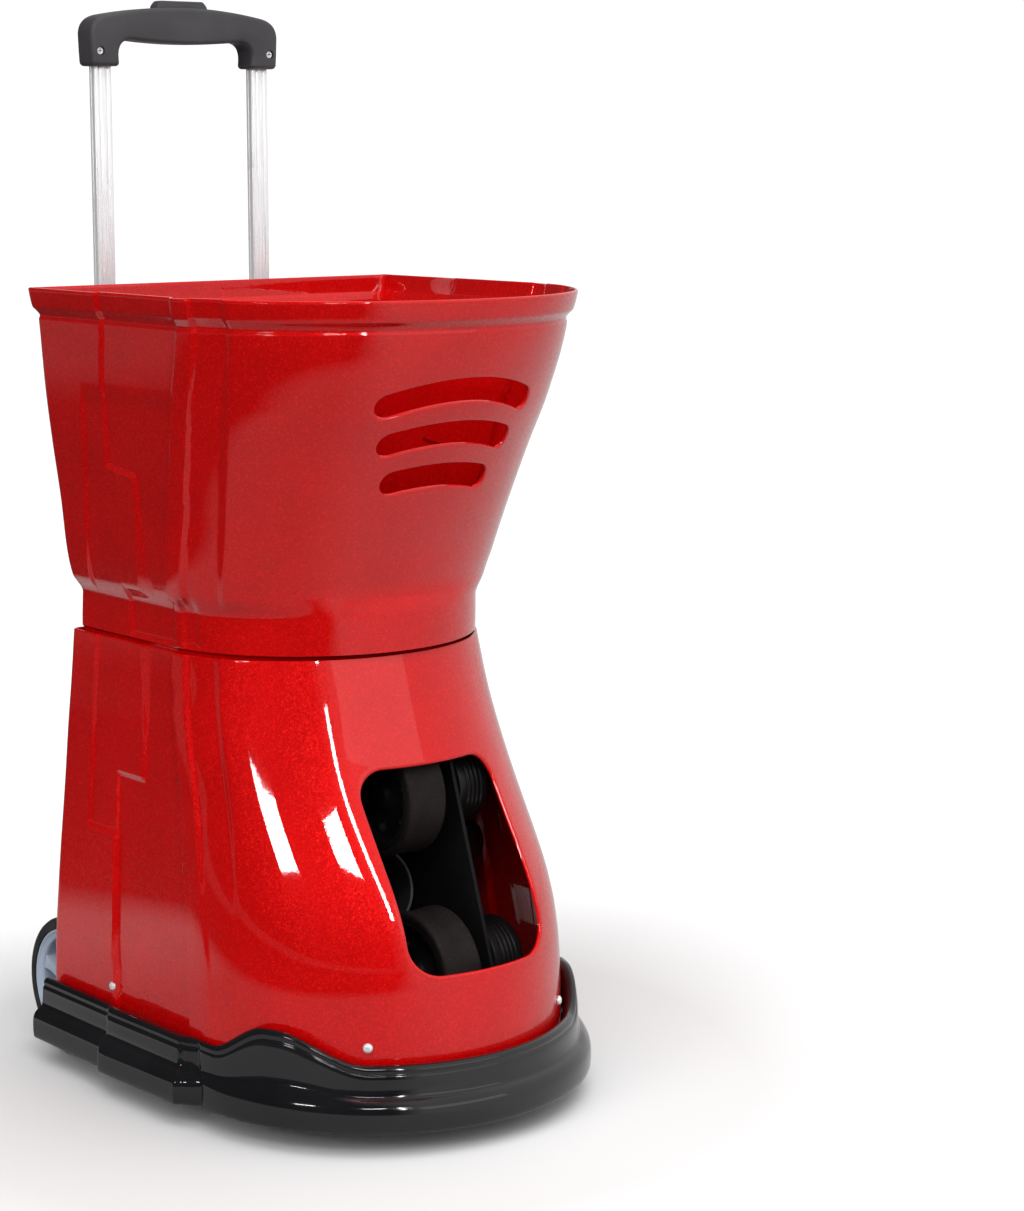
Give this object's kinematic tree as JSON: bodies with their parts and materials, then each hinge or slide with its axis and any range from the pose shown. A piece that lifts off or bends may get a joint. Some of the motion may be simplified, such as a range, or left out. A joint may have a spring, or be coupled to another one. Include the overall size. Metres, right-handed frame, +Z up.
{
  "type": "tennis ball machine",
  "caption": "Portable tennis ball machine: floor housing with a ball hopper, rotary feeder, steerable twin-wheel throwing head, road wheels and telescopic handle.",
  "frame": {"origin": "on the floor, under the centre of the machine's bounding box", "axes": "+Z up; balls leave towards -Y; +X to the right seen from the front"},
  "size_m": [0.436, 0.534, 1.01],
  "materials": {
    "red_shell": "glossy clear coat over red paint with fine metallic flake",
    "black_gloss": "high gloss black moulding",
    "black_plastic": "fine moulded texture",
    "feeder_plastic": "satin moulded plastic",
    "dark_metal": "black powder coat",
    "motor_black": "black enamel",
    "steel": "zinc plated",
    "screw_steel": "bright plated",
    "throw_rubber": "dull hard rubber",
    "foot_rubber": "dull rubber",
    "tyre": "dull rubber with fine tread",
    "hub_grey": "satin moulded plastic",
    "aluminium": "satin anodised, brushed lengthwise",
    "grip_grey": "fine leather-like moulded texture",
    "display": "smoked window",
    "circuit_board": "solder mask",
    "key_green": "satin key",
    "key_grey": "satin key",
    "rocker_red": "glossy rocker"
  },
  "bodies": {
    "base": {"base_plate": "dark_metal", "base_skirt": "black_gloss", "lower_housing": "red_shell", "hopper": "red_shell", "hopper_funnel": "black_plastic", "feed_pan": "black_plastic", "feed_motor": "steel", "ball_chute": "black_plastic", "rear_cover": "black_plastic", "control_panel": "black_plastic", "display_window": "display", "switch_bezel": "black_plastic", "charge_socket": "steel", "control_board": "circuit_board", "battery": "black_plastic", "handle_tube_left": "aluminium", "handle_tube_right": "aluminium", "handle_bridge_lower": "dark_metal", "handle_bridge_upper": "dark_metal", "axle_bracket_left": "steel", "axle_bracket_right": "steel", "road_axle": "steel", "front_foot_left": "foot_rubber", "front_foot_right": "foot_rubber", "housing_screw_front_left": "screw_steel", "housing_screw_front_right": "screw_steel", "housing_screw_side_left": "screw_steel", "housing_screw_side_right": "screw_steel", "yaw_motor": "motor_black"},
    "road_wheel_left": {"road_tyre_left": "tyre", "road_hub_left": "hub_grey"},
    "road_wheel_right": {"road_tyre_right": "tyre", "road_hub_right": "hub_grey"},
    "handle": {"handle_rod_left": "aluminium", "handle_rod_right": "aluminium", "handle_grip": "grip_grey"},
    "release_button": {"release_button": "black_plastic"},
    "feed_disc": {"feed_disc": "feeder_plastic"},
    "yoke": {"yoke": "dark_metal", "pitch_motor": "motor_black"},
    "head": {"head_plate_left": "dark_metal", "head_plate_right": "dark_metal", "head_crossbar_upper": "steel", "head_crossbar_lower": "steel", "trunnion_left": "steel", "trunnion_right": "steel", "ball_guide": "black_plastic", "upper_motor": "motor_black", "lower_motor": "motor_black"},
    "upper_throw_wheel": {"upper_throw_hub": "dark_metal", "upper_throw_tread": "throw_rubber"},
    "lower_throw_wheel": {"lower_throw_hub": "dark_metal", "lower_throw_tread": "throw_rubber"},
    "power_rocker": {"power_rocker": "rocker_red"},
    "run_button": {"run_button": "key_green"},
    "speed_up_button": {"speed_up_button": "key_grey"},
    "speed_down_button": {"speed_down_button": "key_grey"},
    "angle_up_button": {"angle_up_button": "key_grey"},
    "angle_down_button": {"angle_down_button": "key_grey"}
  },
  "joints": [
    {"name": "road_wheel_left_spin", "type": "hinge", "parent": "base", "child": "road_wheel_left", "pos_m": [-0.164, 0.199, 0.068], "axis": [1, 0, 0], "continuous": true},
    {"name": "road_wheel_right_spin", "type": "hinge", "parent": "base", "child": "road_wheel_right", "pos_m": [0.164, 0.199, 0.068], "axis": [1, 0, 0], "continuous": true},
    {"name": "handle_slide", "type": "slide", "parent": "base", "child": "handle", "axis": [0, 0, 1], "range_m": [-0.24, 0]},
    {"name": "release_button_press", "type": "slide", "parent": "handle", "child": "release_button", "axis": [0, 0, -1], "range_m": [0, 0.004], "stiffness_N_per_m": 400},
    {"name": "feed_disc_spin", "type": "hinge", "parent": "base", "child": "feed_disc", "pos_m": [0, 0.033, 0.45], "axis": [0, 0, 1], "continuous": true},
    {"name": "head_yaw", "type": "hinge", "parent": "base", "child": "yoke", "pos_m": [0, -0.04874, 0.046], "axis": [0, 0, 1], "range_deg": [-12, 12]},
    {"name": "head_pitch", "type": "hinge", "parent": "yoke", "child": "head", "pos_m": [0, -0.04874, 0.21474], "axis": [-1, 0, 0], "range_deg": [-16, 12]},
    {"name": "upper_throw_wheel_spin", "type": "hinge", "parent": "head", "child": "upper_throw_wheel", "pos_m": [0, -0.08853, 0.28552], "axis": [1, 0, 0], "continuous": true},
    {"name": "lower_throw_wheel_spin", "type": "hinge", "parent": "head", "child": "lower_throw_wheel", "pos_m": [0, -0.14047, 0.12848], "axis": [1, 0, 0], "continuous": true},
    {"name": "power_rocker_tilt", "type": "hinge", "parent": "base", "child": "power_rocker", "pos_m": [0, 0.21428, 0.23841], "axis": [1, 0, 0], "range_deg": [0, 14]},
    {"name": "run_button_press", "type": "slide", "parent": "base", "child": "run_button", "axis": [0, -0.9991, -0.0431], "range_m": [0, 0.0015], "stiffness_N_per_m": 300},
    {"name": "speed_up_button_press", "type": "slide", "parent": "base", "child": "speed_up_button", "axis": [0, -0.9991, -0.0431], "range_m": [0, 0.0015], "stiffness_N_per_m": 300},
    {"name": "speed_down_button_press", "type": "slide", "parent": "base", "child": "speed_down_button", "axis": [0, -0.9991, -0.0431], "range_m": [0, 0.0015], "stiffness_N_per_m": 300},
    {"name": "angle_up_button_press", "type": "slide", "parent": "base", "child": "angle_up_button", "axis": [0, -0.9991, -0.0431], "range_m": [0, 0.0015], "stiffness_N_per_m": 300},
    {"name": "angle_down_button_press", "type": "slide", "parent": "base", "child": "angle_down_button", "axis": [0, -0.9991, -0.0431], "range_m": [0, 0.0015], "stiffness_N_per_m": 300}
  ]
}
